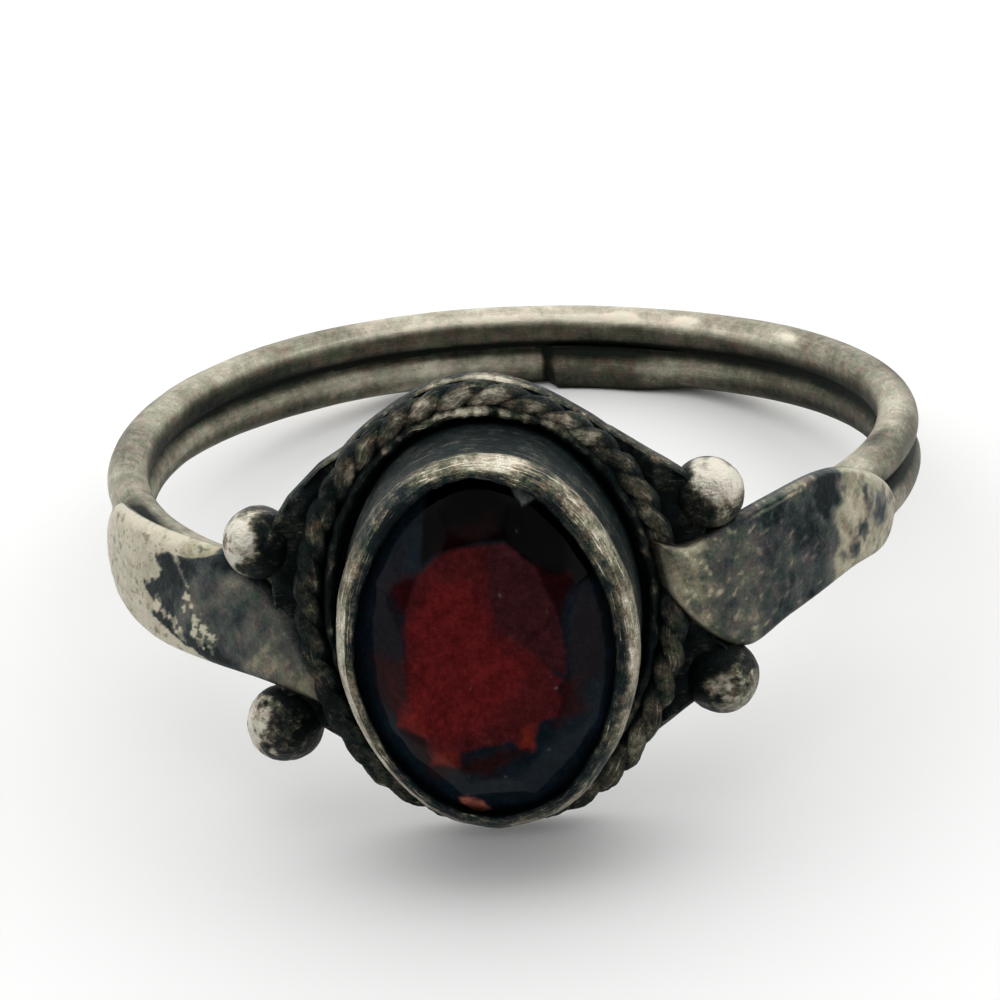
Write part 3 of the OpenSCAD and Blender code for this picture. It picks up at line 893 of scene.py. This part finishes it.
def pavilion(x, y):
    """Height of the pavilion: the highest of its planes, which meet in a short keel."""
    planes = []
    for k in range(16):
        a = k * math.pi / 8
        run = facet(a, 0, 0, 0) - KEEL * abs(math.sin(a))
        planes.append(GIRDLE_LOW - PAVILION / run * facet(a, 0, x, y))
    return np.max(planes, 0)


def inside(x, y, corners, soft, wobble):
    """1 inside the polygon, 0 outside, with an edge soft mm wide."""
    c = np.array(corners, float)
    n = np.roll(c, -1, 0)
    d = n - c
    p = np.stack([x, y], -1)[..., None, :] - c
    t = np.clip((p * d).sum(-1) / (d * d).sum(-1), 0, 1)
    far = np.sqrt(((p - t[..., None] * d) ** 2).sum(-1).min(-1))
    cross = (c[:, 1] > y[..., None]) != (n[:, 1] > y[..., None])
    at = c[:, 0] + (y[..., None] - c[:, 1]) * d[:, 0] / np.where(d[:, 1] == 0, 1e-9, d[:, 1])
    odd = (cross & (x[..., None] < at)).sum(-1) % 2 == 1
    return smooth(soft, -soft, np.where(odd, -far, far) + wobble)


# The stone's look, painted on its surface: its red with the light, shade and reflections seen in it painted
# in as patches, each over the ones before: corners in mm about its middle, the colour, how soft the edge is
# and how ragged
DEEP = (0.012, 0.024, 0.036)
GLOW = [
    # Painted dull light and shade at the sides
    ([(-2.3, 1.9), (-1.6, 2.6), (-1.75, 1.0), (-1.95, -0.9), (-2.45, -0.9), (-2.5, 0.3)],
     (0.016, 0.014, 0.020), 0.3, 0.1),
    ([(0.7, 4.1), (1.6, 3.7), (2.5, 2.4), (2.75, 1.6), (2.0, 1.5), (1.6, 1.2), (0.6, 2.6)],
     (0.002, 0.002, 0.003), 0.15, 0.05),
    ([(1.7, 0.2), (2.1, 1.5), (2.6, 0.9), (2.6, -0.6), (1.9, -0.9)], (0.020, 0.016, 0.020), 0.3, 0.1),
    ([(1.2, 2.15), (1.45, 1.95), (1.96, 1.81), (1.88, 1.35), (1.68, 0.8), (1.5, 1.2)],
     (0.028, 0.004, 0.005), 0.16, 0.08),
    ([(-1.96, 1.76), (-1.67, 1.99), (-1.3, 2.1), (-1.5, 1.5), (-1.62, 1.1), (-1.88, 1.33)],
     (0.05, 0.005, 0.006), 0.16, 0.08),
    ([(-2.45, 0.0), (-1.7, 0.1), (-1.7, -1.2), (-2.25, -1.2)], (0.055, 0.012, 0.013), 0.25, 0.12),
    ([(1.5, -0.5), (2.05, -0.6), (2.0, -1.4), (1.4, -1.6)], (0.045, 0.010, 0.011), 0.2, 0.12),
    ([(-2.0, -1.6), (-1.5, -1.6), (-0.6, -2.3), (0.7, -2.1), (0.2, -2.6), (-1.5, -2.7)],
     (0.04, 0.011, 0.011), 0.25, 0.2),
    # The red of the pavilion, painted with the light it sends back: brown at the upper right, then the main
    # red and its brighter middle
    ([(-1.34, 2.06), (-0.83, 2.53), (-0.42, 2.69), (0.21, 2.70), (0.61, 2.71), (1.19, 2.15), (1.59, 1.2),
      (1.75, 0.17), (1.74, -0.43), (1.2, -0.3), (0.2, 0.3), (-1.0, 1.0)], (0.085, 0.021, 0.025), 0.05, 0.03),
    ([(-1.34, 2.06), (-0.83, 2.50), (-0.42, 2.66), (0.18, 2.66), (0.17, 1.96), (0.21, 1.2), (0.25, 0.77),
      (0.73, 0.36), (1.18, -0.05), (1.62, -0.55), (1.48, -0.75), (1.58, -1.01), (1.49, -1.39),
      (0.98, -1.53), (0.86, -2.09), (0.62, -2.11), (0.39, -1.93), (-0.26, -2.06), (-0.74, -2.12),
      (-0.81, -2.46), (-1.41, -2.53), (-1.49, -1.77), (-2.11, -1.51), (-2.07, -1.09), (-1.84, -0.8),
      (-1.74, 0.05), (-1.7, 0.89), (-1.56, 1.56)], (0.135, 0.020, 0.023), 0.045, 0.05),
    ([(-1.62, 0.9), (-1.0, 1.9), (-0.2, 1.9), (0.11, 1.2), (0.12, 0.61), (0.95, -0.1), (0.47, -0.95),
      (-0.22, -1.5), (-1.21, -1.9), (-1.7, -1.24), (-1.6, 0.0)], (0.235, 0.022, 0.024), 0.3, 0.22),
    # Painted light: bright corners low down
    ([(-2.08, -1.47), (-1.6, -1.0), (-1.3, -1.6), (-1.6, -1.62)], (0.32, 0.030, 0.024), 0.14, 0.08),
    ([(-1.4, -2.5), (-0.85, -2.4), (-0.8, -2.15), (-1.3, -2.1)], (0.30, 0.036, 0.024), 0.14, 0.08),
    ([(0.6, -2.05), (0.86, -2.05), (0.98, -1.55), (0.7, -1.6)], (0.30, 0.036, 0.022), 0.14, 0.08),
    # Painted shade: the black facet at the top, with a faint painted glow
    ([(-1.25, 2.25), (-1.17, 3.14), (-0.95, 4.1), (0.72, 4.1), (0.98, 3.47), (1.15, 2.62), (0.61, 2.78),
      (-0.02, 2.77), (-0.83, 2.58)], (0.001, 0.001, 0.0012), 0.05, 0.02),
    ([(-0.9, 2.6), (-0.1, 2.8), (0.5, 2.9), (0.3, 3.15), (-0.6, 3.0)], (0.014, 0.002, 0.002), 0.25, 0.1),
    # A painted pale reflection at the top and a painted orange one at the bottom
    ([(0.62, 4.05), (1.02, 3.93), (1.60, 3.52), (1.30, 3.42), (1.02, 3.33), (0.88, 3.55)],
     (0.45, 0.48, 0.48), 0.035, 0.05),
    ([(-0.90, -3.45), (-0.70, -3.38), (-0.35, -3.55), (-0.22, -3.85), (-0.5, -3.93), (-0.80, -3.70)],
     (0.80, 0.26, 0.18), 0.07, 0.12),
]
# Specks of dust: how much light each adds, then its place about the middle and its radius
DUST_LIGHT = 0.08
DUST = [
    (1.41, 1.06, 0.025), (0.41, 1.5, 0.03), (-0.38, -0.62, 0.02), (1.48, -0.73, 0.025), (1.21, -2.19, 0.03),
    (-0.08, -1.87, 0.025), (1.4, -0.45, 0.015), (0.9, 2.9, 0.02), (-0.6, -2.7, 0.02), (0.2, -2.75, 0.025),
]


def garnet_material():
    m = Nodes(bpy.data.materials.new("garnet"))
    speckle = m.ramp(m.noise(m.coords(), 7.0, 7, 0.78), [(0.3, 0.55), (0.5, 1.0), (0.72, 1.7)])
    m.shader({
        "Base Color": m.mix(1.0, m.attribute("glow", "Color"), speckle, "MULTIPLY"),
        "Roughness": m.ramp(m.noise(m.coords(), 6.0, 4, 0.6), [(0.3, 0.03), (0.7, 0.10)]),
        "IOR": 1.76,
        "Specular IOR Level": 0.02,
    })
    return m.owner


def stone_colour(x, y):
    """The colour painted on the stone at each place, with the light and reflections seen in it painted in."""
    flat = np.stack([x, y, 0 * x], -1)
    colour = np.tile(DEEP, (len(x), 1))
    for k, (corners, shade, soft, ragged) in enumerate(GLOW):
        w = inside(x, y, corners, soft, ragged * fbm(flat * 1.9, 4, 200 + k))[:, None]
        colour = colour * (1 - w) + w * np.array(shade)
    mottle = 0.5 + 0.14 * fbm(flat * 2.3, 4, 230)
    colour = colour * np.clip(mottle, 0.2, 1)[:, None]
    for cx, cy, r in DUST:
        colour = colour + DUST_LIGHT * np.exp(-((x - cx) ** 2 + (y - cy) ** 2) / r ** 2)[:, None]
    return np.clip(colour, 0, 1)


def stone():
    """Rings from the table's middle out to the girdle and in again to the keel's middle."""
    n, rings_top, rings_low = 288, 76, 14
    ex, ey = oval_at(np.arange(n) / n * ROUND, 0)
    t = np.sin(np.linspace(0, 1, rings_top + 1)[1:] * math.pi / 2)
    u = np.linspace(1, 0, rings_low + 1)[:-1]
    x, y = (e[:, None] * np.concatenate([t, u]) for e in (ex, ey))
    upper = np.minimum(crown(x[:, :rings_top], y[:, :rings_top]), TABLE_H)
    lower = pavilion(x[:, rings_top:], y[:, rings_top:])
    rows = head(x + STONE_AT[0], y + STONE_AT[1], np.concatenate([upper, lower], 1)).reshape(-1, 3)
    ends = [head(*STONE_AT, h)[None] for h in (TABLE_H, GIRDLE_LOW - PAVILION)]
    points = np.concatenate([rows, *ends])
    count = rings_top + rings_low
    faces = grid(n, count, True, False).tolist()
    for i in range(n):
        j = (i + 1) % n
        faces.append([n * count, i * count, j * count])
        faces.append([n * count + 1, j * count + count - 1, i * count + count - 1])
    obj = piece("garnet_stone", points, faces, garnet_material(), sharp=12)
    rgba = np.ones((len(points), 4), np.float32)
    rgba[:, :3] = stone_colour(np.append(x, [0, 0]), np.append(y, [0, 0]))
    obj.data.color_attributes.new("glow", "FLOAT_COLOR", "POINT").data.foreach_set("color", rgba.ravel())
    return obj


gem_obj = stone()
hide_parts("garnet")


# Floor: pale to the eye, and greyer in the light that it sends to the ring. The silver mirrors it as dark in
# front of the ring and pale behind: where that fade starts and ends, in metres, and its two greys
FLOOR_SIZE = 2.0
FLOOR_SEEN, FLOOR_LIT = (0.95, 0.95, 0.945, 1), (0.6, 0.6, 0.6, 1)
FLOOR_MIRRORED = (-0.036, -0.013, 0.03, 0.8)


def floor_material():
    m = Nodes(bpy.data.materials.new("floor_white"))
    path = m.add("ShaderNodeLightPath")
    place = m.add("ShaderNodeSeparateXYZ")
    m.put(place.inputs[0], m.add("ShaderNodeNewGeometry").outputs["Position"])
    mirrored = m.fade(place.outputs["Y"], *FLOOR_MIRRORED)
    seen = m.mix(path.outputs["Is Camera Ray"], FLOOR_LIT, FLOOR_SEEN)
    m.shader({
        "Base Color": m.mix(path.outputs["Is Glossy Ray"], seen, mirrored),
        "Roughness": 0.9,
        "Specular IOR Level": 0.0,
    })
    return m.owner


bpy.ops.mesh.primitive_plane_add(size=FLOOR_SIZE, location=(0, 0, 0))
floor = bpy.context.object
floor.name = "floor"
floor.data.materials.append(floor_material())

# A bright room above, behind and to the sides, and a dark one in front. By the Y of a direction: where the
# fade starts and ends, and its two greys
ROOM_GREYS = (-0.62, -0.12, 0.09, 1.0)
ROOM_LIGHT = 1.5
world = bpy.data.worlds.new("studio")
bpy.context.scene.world = world
room = Nodes(world)
split = room.add("ShaderNodeSeparateXYZ")
room.put(split.inputs[0], room.add("ShaderNodeTexCoord").outputs["Generated"])
light = room.fade(split.outputs["Y"], *ROOM_GREYS)
room.feed(room.tree.nodes["Background"], {"Color": light, "Strength": ROOM_LIGHT})


def place_camera():
    """The camera, placed in the ring's own frame and pointed at its centre."""
    ca, sa, ce, se = math.cos(CAM_AZ), math.sin(CAM_AZ), math.cos(CAM_EL), math.sin(CAM_EL)
    eye = CAM_DIST * np.array([sa * ce, -ca * ce, se])
    ahead = -eye / np.linalg.norm(eye)
    level = np.cross(ahead, [0, 0, 1.0])
    level /= np.linalg.norm(level)
    plumb = np.cross(level, ahead)
    right = math.cos(CAM_ROLL) * level + math.sin(CAM_ROLL) * plumb
    up = -math.sin(CAM_ROLL) * level + math.cos(CAM_ROLL) * plumb
    data = bpy.data.cameras.new("camera")
    data.sensor_width = SENSOR
    data.lens = CAM_FOCAL * SENSOR
    data.shift_x, data.shift_y = CAM_SHIFT
    data.clip_start, data.clip_end = 0.01, 20.0
    camera = bpy.data.objects.new("camera", data)
    bpy.context.scene.collection.objects.link(camera)
    place = np.eye(4)
    place[:3, :3] = (np.stack([right, up, -ahead]) @ TURN).T
    place[:3, 3] = to_row(eye)
    camera.matrix_world = Matrix(place.tolist())
    bpy.context.scene.camera = camera


place_camera()
bpy.context.scene.view_settings.view_transform = "Standard"
